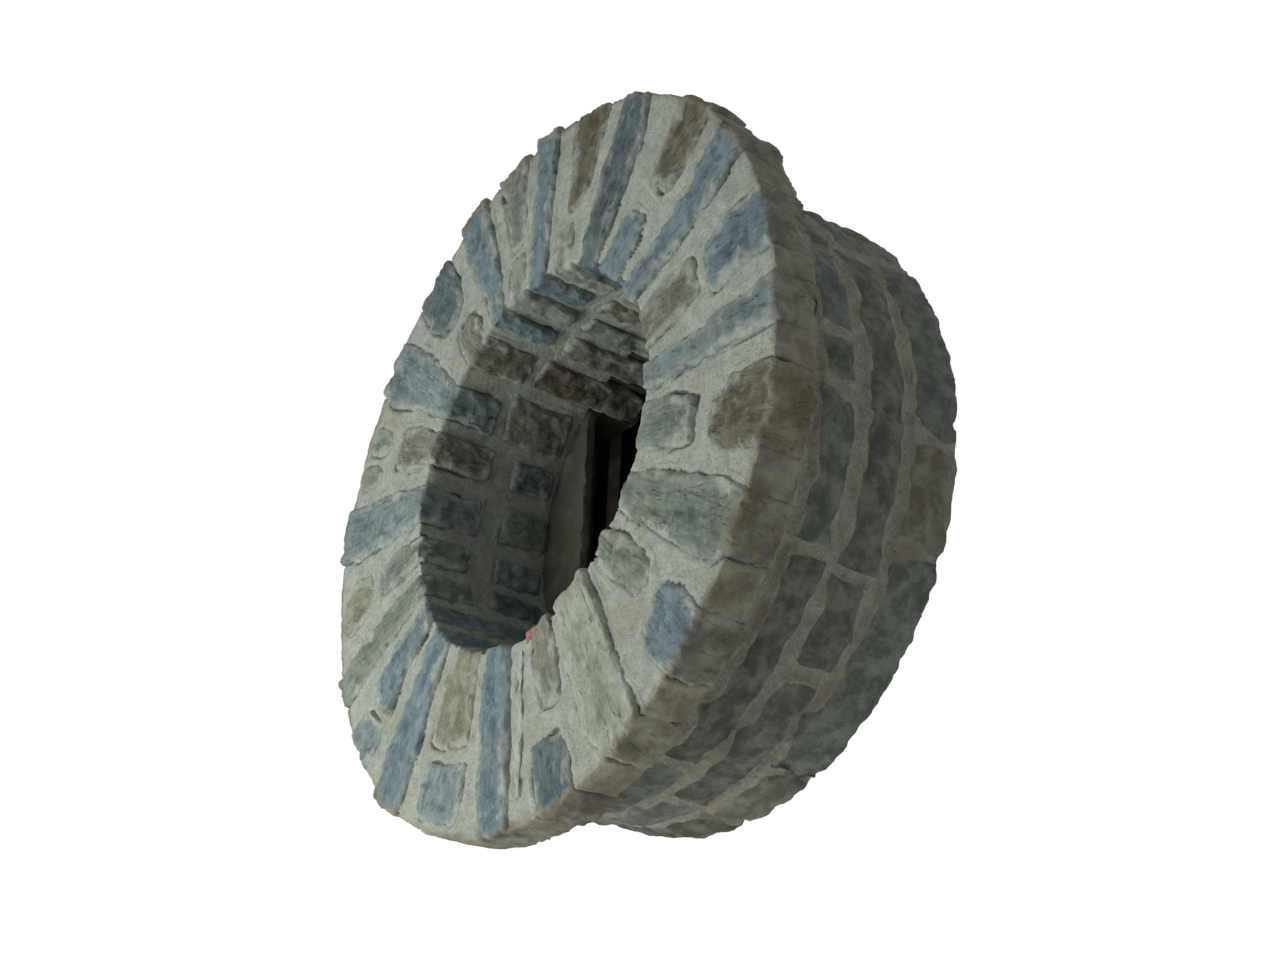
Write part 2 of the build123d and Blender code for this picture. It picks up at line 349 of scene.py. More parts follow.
def ring_coordinates(tree, place):
    """Turns a place into distances along the ring, across it and into the wall."""
    turn = put(
        tree, "ShaderNodeVectorRotate", {"Vector": place, "Angle": seam_turn}, rotation_type="Y_AXIS",
    )
    apart = put(tree, "ShaderNodeSeparateXYZ", {"Vector": turn.outputs[0]})
    angle = math_node(tree, "ARCTAN2", apart.outputs["Z"], apart.outputs["X"])
    along = math_node(tree, "MULTIPLY", angle, ring_middle_radius)
    across_squared = math_node(
        tree, "ADD",
        math_node(tree, "MULTIPLY", apart.outputs["X"], apart.outputs["X"]),
        math_node(tree, "MULTIPLY", apart.outputs["Z"], apart.outputs["Z"]),
    )
    across = math_node(tree, "SQRT", across_squared)
    together = put(tree, "ShaderNodeCombineXYZ", {"X": along, "Y": across, "Z": apart.outputs["Y"]})
    return together.outputs[0]


RIM_WASH_DARK = tone(102, 94, 76)
RIM_WASH_PALE = tone(148, 143, 127)


def rim_washed(tree, colour, place, ragged, start, full):
    """A colour under the brownish wash that covers the ring's outer rim."""
    flat = put(tree, "ShaderNodeVectorMath", {0: place, 1: (1, 0, 1)}, operation="MULTIPLY")
    radius = put(tree, "ShaderNodeVectorMath", {0: flat.outputs[0]}, operation="LENGTH").outputs["Value"]
    strayed = math_node(tree, "ADD", radius, ragged)
    patches = mapped(tree, noisy(tree, place, 26.0, 6.0, 0.68, 0.3), 0.36, 0.66)
    wash = mixed(tree, patches, RIM_WASH_DARK, RIM_WASH_PALE)
    return mixed(tree, mapped(tree, strayed, start, full, 0.0, 0.78), colour, wash)


def split_stone_effect():
    """Bedded sandstone: mottled, streaked along its bed, stained, and filmed with lime by the joints."""
    group, start, end = effect(
        "split stone",
        [
            ("Position", "NodeSocketVector", None),
            ("From Joint", "NodeSocketFloat", 0.03),
            ("Deep", "NodeSocketColor", (0.1, 0.1, 0.1, 1)),
            ("Pale", "NodeSocketColor", (0.3, 0.3, 0.3, 1)),
            ("Stain", "NodeSocketColor", (0.2, 0.15, 0.1, 1)),
            ("Stain Amount", "NodeSocketFloat", 0.3),
            ("Lime", "NodeSocketColor", (0.4, 0.4, 0.35, 1)),
            ("Lime Amount", "NodeSocketFloat", 0.6),
        ],
        [("Color", "NodeSocketColor"), ("Height", "NodeSocketFloat"), ("Roughness", "NodeSocketFloat")],
    )
    place = start.outputs["Position"]
    ring = ring_coordinates(group, place)
    bed = stretched(group, ring, scale=(170, 28, 50))
    streaks = noisy(group, bed, 1.0, detail=5.0, roughness=0.62, distortion=0.25)
    cleft = noisy(group, stretched(group, ring, (7, 3, 1), (70, 9, 14)), 1.0, 3.0, 0.5, 0.6)
    mottle = noisy(group, place, 17.0, 5.0, 0.62, 0.4)
    blotch = noisy(group, stretched(group, place, (3.1, 1.7, 5.3)), 70.0, 5.0, 0.68)
    grit = noisy(group, place, 480.0, 3.0, 0.75)
    shade = math_node(group, "ADD", math_node(group, "MULTIPLY", mottle, 0.42),
                      math_node(group, "MULTIPLY", streaks, 0.22))
    shade = math_node(group, "ADD", shade, math_node(group, "MULTIPLY", blotch, 0.22))
    shade = math_node(group, "ADD", shade, math_node(group, "MULTIPLY", grit, 0.18))
    colour = mixed(group, mapped(group, shade, 0.41, 0.61), start.outputs["Deep"], start.outputs["Pale"])
    patches = noisy(group, stretched(group, place, (9.2, 4.4, 1.5)), 13.0, 4.0, 0.6, 0.5)
    stain = mapped(group, patches, 0.50, 0.72)
    stain = math_node(group, "MULTIPLY", stain, start.outputs["Stain Amount"])
    colour = mixed(group, stain, colour, start.outputs["Stain"])
    # Dark lines along the clefts: painted shade in the fissures, beside a groove in the bump.
    crack = math_node(group, "ABSOLUTE", math_node(group, "SUBTRACT", cleft, 0.5))
    crack = mapped(group, crack, 0.0, 0.012, 1.0, 0.0)
    crack = math_node(group, "MULTIPLY", crack, mapped(group, blotch, 0.45, 0.60))
    darker = mixed(group, 1.0, colour, (0.25, 0.24, 0.22, 1), "MULTIPLY")
    colour = mixed(group, math_node(group, "MULTIPLY", crack, 0.75), colour, darker)
    broad_stray = math_node(group, "MULTIPLY", math_node(group, "SUBTRACT", mottle, 0.5), 0.085)
    small_stray = math_node(group, "MULTIPLY", math_node(group, "SUBTRACT", blotch, 0.5), 0.045)
    ragged = math_node(group, "ADD", broad_stray, small_stray)
    edge = math_node(group, "ADD", start.outputs["From Joint"], ragged)
    film = math_node(group, "ADD", mapped(group, edge, -0.004, 0.017, 1.0, 0.0),
                     mapped(group, blotch, 0.54, 0.76, 0.0, 0.40))
    film = math_node(group, "MULTIPLY", film, start.outputs["Lime Amount"])
    colour = mixed(group, film, colour, start.outputs["Lime"])
    colour = rim_washed(group, colour, place, math_node(group, "MULTIPLY", ragged, 0.10), 0.486, 0.497)
    height = math_node(group, "ADD", math_node(group, "MULTIPLY", streaks, 0.45),
                       math_node(group, "MULTIPLY", grit, 0.30))
    height = math_node(group, "ADD", height, math_node(group, "MULTIPLY", blotch, 0.75))
    height = math_node(group, "SUBTRACT", height, math_node(group, "MULTIPLY", crack, 0.45))
    group.links.new(colour, end.inputs["Color"])
    group.links.new(height, end.inputs["Height"])
    group.links.new(mapped(group, film, 0.0, 1.0, 0.80, 0.95), end.inputs["Roughness"])
    return group


def lime_mortar_effect():
    """Sandy lime mortar: pale binder, sand grains of several colours, brushed unevenness, faint stains, and
    near-black painted shade in the shrinkage cracks beside the stones.
    """
    group, start, end = effect(
        "lime mortar",
        [
            ("Position", "NodeSocketVector", None),
            ("From Stone", "NodeSocketFloat", 0.05),
            ("Crack", "NodeSocketFloat", 0.0),
            ("Binder", "NodeSocketColor", (0.4, 0.38, 0.33, 1)),
            ("Stain", "NodeSocketColor", (0.2, 0.18, 0.15, 1)),
            ("Stain Amount", "NodeSocketFloat", 0.4),
        ],
        [("Color", "NodeSocketColor"), ("Height", "NodeSocketFloat")],
    )
    place = start.outputs["Position"]
    grains = put(group, "ShaderNodeTexVoronoi", {"Vector": place, "Scale": 430.0, "Randomness": 1.0})
    spread = put(group, "ShaderNodeSeparateColor", {"Color": grains.outputs["Color"]})
    fine = noisy(group, place, 900.0, 2.0, 0.7)
    rough = noisy(group, place, 75.0, 5.0, 0.68)
    broad = noisy(group, place, 11.0, 4.0, 0.55, 0.3)
    dark_grain = mapped(group, spread.outputs["Red"], 0.80, 0.90)
    pale_grain = mapped(group, spread.outputs["Green"], 0.86, 0.94)
    colour = mixed(group, mapped(group, rough, 0.30, 0.72), mixed(group, 1.0, start.outputs["Binder"],
                   (0.74, 0.74, 0.71, 1), "MULTIPLY"), start.outputs["Binder"])
    colour = mixed(group, math_node(group, "MULTIPLY", dark_grain, 0.42), colour, (0.16, 0.155, 0.14, 1))
    colour = mixed(group, math_node(group, "MULTIPLY", pale_grain, 0.22), colour, (0.58, 0.57, 0.52, 1))
    stain = math_node(group, "MULTIPLY", mapped(group, broad, 0.44, 0.72), start.outputs["Stain Amount"])
    colour = mixed(group, stain, colour, start.outputs["Stain"])
    wobble = math_node(group, "MULTIPLY", math_node(group, "SUBTRACT", rough, 0.5), 0.006)
    apart = math_node(group, "ADD", start.outputs["From Stone"], wobble)
    # Painted shade: the shrinkage cracks beside the stones are darkened almost to black.
    crack = mapped(group, math_node(group, "ADD", start.outputs["Crack"],
                   math_node(group, "MULTIPLY", wobble, 60.0)), 0.35, 0.80)
    colour = mixed(group, math_node(group, "MULTIPLY", crack, 0.68), colour, (0.055, 0.052, 0.045, 1))
    strayed = math_node(group, "MULTIPLY", math_node(group, "SUBTRACT", broad, 0.5), 0.020)
    colour = rim_washed(group, colour, place, strayed, 0.484, 0.495)
    trowel = math_node(group, "MULTIPLY", mapped(group, apart, 0.0060, 0.0095),
                       mapped(group, noisy(group, place, 14.0, 2.0, 0.5), 0.48, 0.62))
    height = math_node(group, "ADD", math_node(group, "MULTIPLY", grains.outputs["Distance"], -0.35),
                       math_node(group, "MULTIPLY", rough, 1.6))
    height = math_node(group, "ADD", height, math_node(group, "MULTIPLY", fine, 0.30))
    height = math_node(group, "SUBTRACT", height, math_node(group, "MULTIPLY", trowel, 0.7))
    group.links.new(colour, end.inputs["Color"])
    group.links.new(height, end.inputs["Height"])
    return group


def object_place(tree):
    """The place on the piece, in metres."""
    return put(tree, "ShaderNodeTexCoord").outputs["Object"]


def attribute_value(tree, name):
    """A value that the mesh carries."""
    return put(tree, "ShaderNodeAttribute", attribute_name=name).outputs["Fac"]


def bumped(tree, shader, height, depth, strength=1.0):
    """Feeds a height to the shader's normal."""
    bump = put(tree, "ShaderNodeBump", {"Height": height, "Distance": depth, "Strength": strength})
    tree.links.new(bump.outputs["Normal"], shader.inputs["Normal"])


def new_material(name, roughness=0.9):
    """A material, its tree and its shader."""
    material = bpy.data.materials.new(name)
    material.use_nodes = True
    shader = material.node_tree.nodes["Principled BSDF"]
    shader.inputs["Roughness"].default_value = roughness
    shader.inputs["Specular IOR Level"].default_value = 0.25
    return material, material.node_tree, shader


LIME = tone(164, 170, 159)


def stone_material(name, effect_group, deep, pale, stain, stain_amount, lime_amount):
    """One kind of stone."""
    material, tree, shader = new_material(name)
    look = put(tree, "ShaderNodeGroup", node_tree=effect_group)
    tree.links.new(object_place(tree), look.inputs["Position"])
    tree.links.new(attribute_value(tree, "from_joint"), look.inputs["From Joint"])
    for socket, value in (("Deep", deep), ("Pale", pale), ("Stain", stain), ("Stain Amount", stain_amount),
                          ("Lime", LIME), ("Lime Amount", lime_amount)):
        look.inputs[socket].default_value = value
    tree.links.new(look.outputs["Color"], shader.inputs["Base Color"])
    tree.links.new(look.outputs["Roughness"], shader.inputs["Roughness"])
    bumped(tree, shader, look.outputs["Height"], 0.0030)
    return material


def mortar_material(name, effect_group, binder, stain, stain_amount):
    """Lime mortar of one tint."""
    material, tree, shader = new_material(name, 0.95)
    look = put(tree, "ShaderNodeGroup", node_tree=effect_group)
    tree.links.new(object_place(tree), look.inputs["Position"])
    tree.links.new(attribute_value(tree, "from_stone"), look.inputs["From Stone"])
    tree.links.new(attribute_value(tree, "crack"), look.inputs["Crack"])
    for socket, value in (("Binder", binder), ("Stain", stain), ("Stain Amount", stain_amount)):
        look.inputs[socket].default_value = value
    tree.links.new(look.outputs["Color"], shader.inputs["Base Color"])
    bumped(tree, shader, look.outputs["Height"], 0.0018)
    return material


def rubble_material(name, mortar_effect):
    """The core's skin: mortar with the backs of rough stones showing in it, and painted shade on its faces
    inside the opening.
    """
    material, tree, shader = new_material(name, 0.95)
    place = object_place(tree)
    look = put(tree, "ShaderNodeGroup", node_tree=mortar_effect)
    tree.links.new(place, look.inputs["Position"])
    for socket, value in (("Binder", tone(160, 158, 144)), ("Stain", tone(118, 110, 92)),
                          ("Stain Amount", 0.45)):
        look.inputs[socket].default_value = value
    kind = put(tree, "ShaderNodeValToRGB", {"Fac": attribute_value(tree, "rubble_tone")})
    tones = kind.color_ramp
    tones.elements[0].color = tone(92, 104, 106)
    tones.elements[1].color = tone(128, 122, 104)
    for position, colour in ((0.25, tone(112, 118, 108)), (0.5, tone(100, 98, 86)),
                             (0.75, tone(118, 128, 128))):
        tones.elements.new(position).color = colour
    mottle = noisy(tree, place, 38.0, 5.0, 0.65)
    stone = mixed(tree, mapped(tree, mottle, 0.35, 0.68), mixed(tree, 1.0, kind.outputs["Color"],
                  (0.62, 0.62, 0.62, 1), "MULTIPLY"), mixed(tree, 0.25, kind.outputs["Color"], LIME))
    mask = math_node(tree, "ADD", attribute_value(tree, "rubble"),
                     math_node(tree, "MULTIPLY", math_node(tree, "SUBTRACT", mottle, 0.5), 0.9))
    mask = mapped(tree, mask, 0.36, 0.66)
    colour = mixed(tree, mask, look.outputs["Color"], stone)
    # Painted shade: the stop, reveal and rebate inside the opening are darkened towards a dark grey, broken
    # up by noise.
    grime = math_node(tree, "MULTIPLY", attribute_value(tree, "grime"),
                      mapped(tree, noisy(tree, place, 21.0, 4.0, 0.6), 0.30, 0.55, 0.62, 0.90))
    colour = mixed(tree, grime, colour, tone(78, 78, 68))
    tree.links.new(colour, shader.inputs["Base Color"])
    height = math_node(tree, "ADD", look.outputs["Height"], math_node(tree, "MULTIPLY", mottle, 1.2))
    bumped(tree, shader, height, 0.0022)
    return material


def timber_material(name, lengthwise):
    """Dark stained softwood, with its grain along a member's length."""
    material, tree, shader = new_material(name, 0.5)
    shader.inputs["Specular IOR Level"].default_value = 0.4
    place = object_place(tree)
    fine, coarse = (260.0, 5.0) if lengthwise == "Z" else (5.0, 260.0)
    grain = noisy(tree, stretched(tree, place, scale=(fine, 260.0, coarse)), 1.0, 4.0, 0.6, 0.35)
    figure = noisy(tree, stretched(tree, place, scale=(fine / 6, 40.0, coarse / 6)), 1.0, 3.0, 0.5, 0.8)
    shade = math_node(tree, "ADD", math_node(tree, "MULTIPLY", grain, 0.6),
                      math_node(tree, "MULTIPLY", figure, 0.4))
    colour = mixed(tree, mapped(tree, shade, 0.36, 0.66), tone(38, 26, 20), tone(78, 54, 38))
    tree.links.new(colour, shader.inputs["Base Color"])
    tree.links.new(mapped(tree, grain, 0.3, 0.7, 0.42, 0.62), shader.inputs["Roughness"])
    bumped(tree, shader, grain, 0.0006)
    return material


def glass_material():
    """Glass in front of a dark room: the unlit room's darkness is painted into the pane's own colour as
    painted shade.
    """
    material, tree, shader = new_material("window_glass", 0.04)
    dust = noisy(tree, object_place(tree), 26.0, 4.0, 0.6)
    tree.links.new(mixed(tree, mapped(tree, dust, 0.4, 0.75), tone(18, 22, 27), tone(30, 34, 38)),
                   shader.inputs["Base Color"])
    tree.links.new(mapped(tree, dust, 0.4, 0.8, 0.03, 0.12), shader.inputs["Roughness"])
    shader.inputs["Specular IOR Level"].default_value = 0.5
    shader.inputs["Coat Weight"].default_value = 0.6
    shader.inputs["Coat Roughness"].default_value = 0.03
    return material


def putty_material():
    """Weathered putty."""
    material, tree, shader = new_material("glazing_putty", 0.7)
    place = object_place(tree)
    drag = noisy(tree, place, 120.0, 4.0, 0.6)
    stain = noisy(tree, place, 30.0, 3.0, 0.6)
    colour = mixed(tree, mapped(tree, stain, 0.35, 0.7), tone(92, 84, 70), tone(132, 124, 106))
    tree.links.new(colour, shader.inputs["Base Color"])
    bumped(tree, shader, drag, 0.0008)
    return material


def steel_material():
    """Dull steel of the frame's screws."""
    material, tree, shader = new_material("screw_steel", 0.4)
    shader.inputs["Metallic"].default_value = 1.0
    worn = noisy(tree, object_place(tree), 700.0, 3.0, 0.6)
    tree.links.new(mixed(tree, worn, tone(120, 118, 114), tone(170, 168, 164)), shader.inputs["Base Color"])
    tree.links.new(mapped(tree, worn, 0.3, 0.7, 0.32, 0.5), shader.inputs["Roughness"])
    return material


def brick_material():
    """The red brick of a shim in the joints."""
    material, tree, shader = new_material("brick_chip", 0.95)
    place = object_place(tree)
    patch = noisy(tree, place, 160.0, 4.0, 0.65)
    tree.links.new(mixed(tree, mapped(tree, patch, 0.35, 0.65), tone(126, 84, 74), tone(158, 116, 102)),
                   shader.inputs["Base Color"])
    bumped(tree, shader, patch, 0.0012)
    return material


# The stones' kinds: deep tone, pale tone, stain, amount of stain and amount of lime
KINDS = {
    "stone_blue": (tone(70, 87, 97), tone(116, 133, 137), tone(98, 102, 94), 0.30, 0.75),
    "stone_slate": (tone(52, 65, 72), tone(95, 109, 112), tone(74, 70, 58), 0.30, 0.60),
    "stone_blue_grey": (tone(80, 95, 99), tone(126, 139, 138), tone(104, 103, 88), 0.30, 0.80),
    "stone_green_grey": (tone(76, 87, 80), tone(126, 135, 124), tone(104, 96, 74), 0.35, 0.80),
    "stone_brown_grey": (tone(80, 81, 72), tone(128, 130, 117), tone(98, 84, 64), 0.45, 0.75),
    "stone_brown": (tone(60, 56, 47), tone(104, 100, 85), tone(88, 68, 46), 0.55, 0.65),
    "stone_pale_grey": (tone(96, 104, 97), tone(142, 148, 138), tone(108, 102, 84), 0.25, 0.95),
    "stone_tan": (tone(96, 97, 80), tone(140, 141, 122), tone(110, 94, 66), 0.35, 0.80),
    "stone_buff": (tone(118, 125, 110), tone(156, 163, 149), tone(126, 114, 86), 0.30, 0.90),
}


# Stones

def angle_of(node):
    """The angle round the ring at which a stone lies."""
    low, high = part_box(node)
    middle = (low + high) / 2
    return math.atan2(middle.z, middle.x)


def split_and_wear(stone, angle, patterns, mortar_tree):
    """Splits and wears one stone: remeshed, warped, chipped along its bed and roughened."""
    modify(stone, "REMESH", mode="VOXEL", voxel_size=stone_voxel)
    bed = bpy.data.objects.new("bed", None)
    bpy.context.scene.collection.objects.link(bed)
    seed = random.Random(stone.name)
    bed.rotation_euler = (0, -angle + math.radians(seed.uniform(-6, 6)), 0)
    bed.scale = (2.6, 1.5, 0.8)
    bed.location = [seed.uniform(-1, 1) for axis in "xyz"]
    bpy.context.view_layer.update()
    for texture, strength in (("warp", stone_warp), ("nicks", stone_nicks)):
        modify(stone, "DISPLACE", texture=patterns[texture], texture_coords="LOCAL", direction="RGB_TO_XYZ",
               strength=strength, mid_level=0.5)
    modify(stone, "DISPLACE", texture=patterns["bed"], texture_coords="OBJECT", texture_coords_object=bed,
           strength=stone_bedding, mid_level=0.60)
    for texture, strength in (("chips", stone_chips), ("grit", stone_grit)):
        modify(stone, "DISPLACE", texture=patterns[texture], texture_coords="LOCAL", strength=strength,
               mid_level=0.55)
    bpy.data.objects.remove(bed)
    keep_inside(stone)
    write_values(stone, "from_joint", [abs(nearest(v.co, mortar_tree)[0]) for v in stone.data.vertices])


def ring_block(name, angle, radius, sides, y):
    """A block on the ring, with its sides along the radius, along Y and round the ring."""
    place = (radius * math.cos(angle), y, radius * math.sin(angle))
    bpy.ops.mesh.primitive_cube_add(size=1, location=place, rotation=(0, -angle, 0), scale=sides)
    return added(name)


def make_sliver(material, patterns, mortar_tree):
    """The thin stone that fills the joint beside the lowest long stone."""
    angle = math.radians(275.9)
    sliver = ring_block("sliver_stone", angle, 0.368, (0.188, 0.034, 0.015), joint_front + 0.0145)
    split_and_wear(sliver, angle, patterns, mortar_tree)
    finish_piece(sliver, material, slot="stone_pale_grey")


def make_chip(material, patterns, mortar_tree):
    """The brick chip that shims a joint at the opening's edge."""
    angle = math.radians(280.6)
    chip = ring_block("brick_chip", angle, 0.2675, (0.016, 0.030, 0.017), joint_front + 0.0125)
    split_and_wear(chip, angle, patterns, mortar_tree)
    finish_piece(chip, material, slot="stone_brown")


def make_stones(materials, brick):
    """Every stone of the ring and the lining, with the sliver and the chip between them."""
    patterns = {
        "warp": pattern("warp", "CLOUDS", 0.055, noise_depth=1, cloud_type="COLOR"),
        "nicks": pattern("nicks", "CLOUDS", 0.017, noise_depth=2, cloud_type="COLOR"),
        "bed": pattern("bed", "CLOUDS", 0.014, noise_depth=3),
        "chips": pattern("chips", "VORONOI", 0.026, distance_metric="DISTANCE"),
        "grit": pattern("grit", "CLOUDS", 0.008, noise_depth=2),
    }
    mortar_tree = tree_of("mortar_bed")
    for part in frame["record"]["subparts"]:
        node, kind = part["node"], part["material_slot"]
        if kind in KINDS:
            stone = copied(node, node + "_split")
            split_and_wear(stone, angle_of(node), patterns, mortar_tree)
            finish_piece(stone, materials[kind], node, slot=kind)
    make_sliver(materials["stone_pale_grey"], patterns, mortar_tree)
    make_chip(brick, patterns, mortar_tree)


# Mortar

def ramp(value, low, high):
    """0 below the low value, 1 above the high one, and a smooth rise between them."""
    share = min(1.0, max(0.0, (value - low) / (high - low)))
    return share * share * (3 - 2 * share)


def push(piece, weights, strength):
    """Moves vertices along their normals by a strength times their own weights."""
    group = piece.vertex_groups.new(name="push")
    for index, weight in enumerate(weights):
        if weight > 0:
            group.add([index], weight, "REPLACE")
    modify(piece, "DISPLACE", strength=strength, mid_level=0, vertex_group="push")
    piece.vertex_groups.clear()


def fit_to_stones(piece, stones_tree):
    """Mortar rises to the stones' edges, sinks under them, and in places has shrunk away below them; the
    mortar's colour darkens these shrinkage cracks as painted shade.
    """
    found = [nearest(vertex.co, stones_tree) for vertex in piece.data.vertices]
    cracks_and_shade, brushed, sunk = [], [], []
    for vertex, (distance, below) in zip(piece.data.vertices, found):
        likely = noise.noise(vertex.co * 16.0) + 0.6 * noise.noise(vertex.co * 41.0) + 0.50 * below - 0.30
        near = ramp(distance, -0.006, 0.0) * (1 - ramp(distance, 0.0008, 0.0042))
        behind = vertex.co.y > hidden_depth and math.hypot(vertex.co.x, vertex.co.z) > hidden_radius
        sheltered = 0.0 if behind else 0.5 if vertex.co.y > 0 else 1.0
        # The crack weights push the mortar back as a real groove, and the same weights darken the groove as
        # painted shade.
        cracks_and_shade.append(near * ramp(likely, 0.0, 0.16) * sheltered)
        brushed.append(max(0.0, 1 - abs(distance) / brush_width))
        deeper = nearest(vertex.co - vertex.normal * under_skin, stones_tree)[0]
        sunk.append(ramp(-deeper, 0.0018, 0.0070))
    push(piece, brushed, brushed_up)
    push(piece, sunk, -sunk_under)
    push(piece, cracks_and_shade, -shrunk_away)
    write_values(piece, "from_stone", [distance for distance, below in found])
    write_values(piece, "crack", cracks_and_shade)


def roughen(piece, undulation, grain):
    """Trowelled and brushed mortar."""
    modify(piece, "DISPLACE", texture=pattern("undulation", "CLOUDS", 0.055, noise_depth=2),
           texture_coords="LOCAL", strength=undulation, mid_level=0.55)
    modify(piece, "DISPLACE", texture=pattern("pits", "CLOUDS", 0.014, noise_depth=2),
           texture_coords="LOCAL", strength=grain, mid_level=0.55)


def make_bed(material, stones_tree):
    """The mortar between the stones of the ring and of the lining."""
    bed = turned("mortar_joints", [
        (rim_radius, 0.0), (rim_radius, joint_front), (bore_radius, joint_front),
        (bore_radius, stop_front + 0.002), (sleeve_radius, stop_front + 0.002), (sleeve_radius, 0.0),
    ])
    modify(bed, "REMESH", mode="VOXEL", voxel_size=bed_voxel)
    drop_faces(bed, lambda place, radius: place.y > -0.010 and hidden_radius < radius < core_radius - 0.010)
    modify(bed, "SMOOTH", factor=0.5, iterations=2)
    roughen(bed, 0.0055, 0.0030)
    fit_to_stones(bed, stones_tree)
    keep_inside(bed)
    finish_piece(bed, material, "mortar_bed", slot="mortar")


def course_block(place):
    """The course and the number of the core's block at a place, and its distance from the nearest joint."""
    course = sum(place.y > joint for joint in course_joints)
    count = course_stones[course]
    turn = math.atan2(place.z, place.x) / math.tau * count
    joints = [index + course_joint_stray * math.sin(3 * index + 2 * course) for index in range(-1, count + 1)]
    turn %= count
    across = min(abs(turn - joint) for joint in joints) * math.tau / count * core_radius
    along = min(abs(place.y - joint + course_joint_width / 2) for joint in course_joints)
    block = sum(turn > joint for joint in joints) % count
    return course, block, min(across, along) - course_joint_width / 2


def tuck_front_edge(core):
    """Draws the skin's front edge forward into the ring's mortar."""
    only(core)
    bpy.ops.object.mode_set(mode="EDIT")
    bpy.ops.mesh.select_mode(type="VERT")
    bpy.ops.mesh.select_all(action="DESELECT")
    bpy.ops.object.mode_set(mode="OBJECT")
    for vertex in core.data.vertices:
        vertex.select = vertex.co.y < skin_edge
    bpy.ops.object.mode_set(mode="EDIT")
    bpy.ops.transform.translate(value=(0, -skin_tuck, 0))
    bpy.ops.object.mode_set(mode="OBJECT")


def set_rubble(core):
    """The stones' backs between the raked joints of the drum, and the rough stones in the core's end."""
    noise.seed_set(rubble_draw)
    backs, tones, lumps = [], [], []
    for vertex in core.data.vertices:
        place = vertex.co
        radius = math.hypot(place.x, place.z)
        back, kind, lump = 0.0, 0.0, 0.0
        if radius > core_radius - core_skin_depth and place.y < core_back - 0.004:
            course, block, apart = course_block(place)
            apart += 0.012 * noise.noise(place * 26.0)
            back = ramp(apart, -0.001, 0.007)
            lump = ramp(apart, -0.002, 0.026)
            kind = random.Random(17 * course + block).random()
        elif place.y > core_back - 0.004:
            cell = place * 9.5 + noise.noise_vector(place * 20.0) * 0.18
            distances, points = noise.voronoi(cell)
            if noise.cell(points[0] * 7.3) > -0.5:
                back = ramp(distances[1] - distances[0], 0.10, 0.30)
            lump = 0.7 * back
            kind = 0.5 + 0.5 * noise.cell(points[0] * 3.1)
        backs.append(back)
        tones.append(kind)
        lumps.append(lump)
    # Painted shade for the faces inside the opening: full well inside the drum's radius, fading out at the
    # back face.
    grime = [
        ramp(core_radius - math.hypot(v.co.x, v.co.z), 0.020, 0.060) * ramp(core_back - v.co.y, 0.0, 0.012)
        for v in core.data.vertices
    ]
    write_values(core, "rubble", backs)
    write_values(core, "rubble_tone", tones)
    write_values(core, "grime", grime)
    push(core, [1 - lump for lump in lumps], -0.004)


def make_core(material):
    """The core in the wall, with the stop, the reveal behind it and the frame's rebate."""
    core = copied("mortar_bed", "core_skin")
    modify(core, "REMESH", mode="VOXEL", voxel_size=core_voxel)
    drop_faces(core, lambda place, radius: place.y < 0.0015 or (
        place.y < stop_front - 0.012 and radius < core_radius - core_skin_depth))
    set_rubble(core)
    modify(core, "SMOOTH", factor=0.5, iterations=2)
    modify(core, "DISPLACE", texture=pattern("broken", "CLOUDS", 0.024, noise_depth=2, cloud_type="COLOR"),
           texture_coords="LOCAL", direction="RGB_TO_XYZ", strength=0.008, mid_level=0.5)
    roughen(core, 0.005, 0.0035)
    tuck_front_edge(core)
    keep_inside(core)
    finish_piece(core, material, slot="mortar")


# Timber frame

def make_frame(upright_material, level_material):
    """The four members, with eased edges."""
    members = (("stile_left", upright_material), ("stile_right", upright_material),
               ("head_rail", level_material), ("bottom_rail", level_material))
    for node, material in members:
        member = copied(node, node + "_eased")
        modify(member, "BEVEL", width=0.0012, segments=2, limit_method="ANGLE", angle_limit=math.radians(40))
        finish_piece(member, material, node, slot="timber")
        only(member)
        bpy.ops.object.shade_smooth_by_angle(angle=math.radians(35))


# Floor, light and camera

def make_floor():
    """A plain pale floor that fades into the white round it and keeps the object's shadow."""
    bpy.ops.mesh.primitive_circle_add(vertices=96, radius=14, fill_type="NGON", location=(0, 0, floor_height))
    floor = added("floor")
    material, tree, shader = new_material("floor", 0.9)
    place = object_place(tree)
    grey = noisy(tree, place, 3.0, 3.0, 0.5)
    colour = mixed(tree, grey, (0.80, 0.80, 0.79, 1), (0.84, 0.84, 0.83, 1))
    tree.links.new(colour, shader.inputs["Base Color"])
    far = put(tree, "ShaderNodeVectorMath", {0: place}, operation="LENGTH")
    path = put(tree, "ShaderNodeLightPath")
    seen = math_node(tree, "MAXIMUM", path.outputs["Is Camera Ray"], path.outputs["Is Glossy Ray"])
    seen = math_node(tree, "MAXIMUM", seen, path.outputs["Is Transmission Ray"])
    fade = math_node(tree, "MULTIPLY", mapped(tree, far.outputs["Value"], 2.2, 5.0), seen)
    white = put(tree, "ShaderNodeEmission", {"Color": (1, 1, 1, 1), "Strength": 1.0})
    blend = put(tree, "ShaderNodeMixShader", {0: fade, 1: shader.outputs[0], 2: white.outputs[0]})
    tree.links.new(blend.outputs[0], tree.nodes["Material Output"].inputs["Surface"])
    floor.data.materials.append(material)


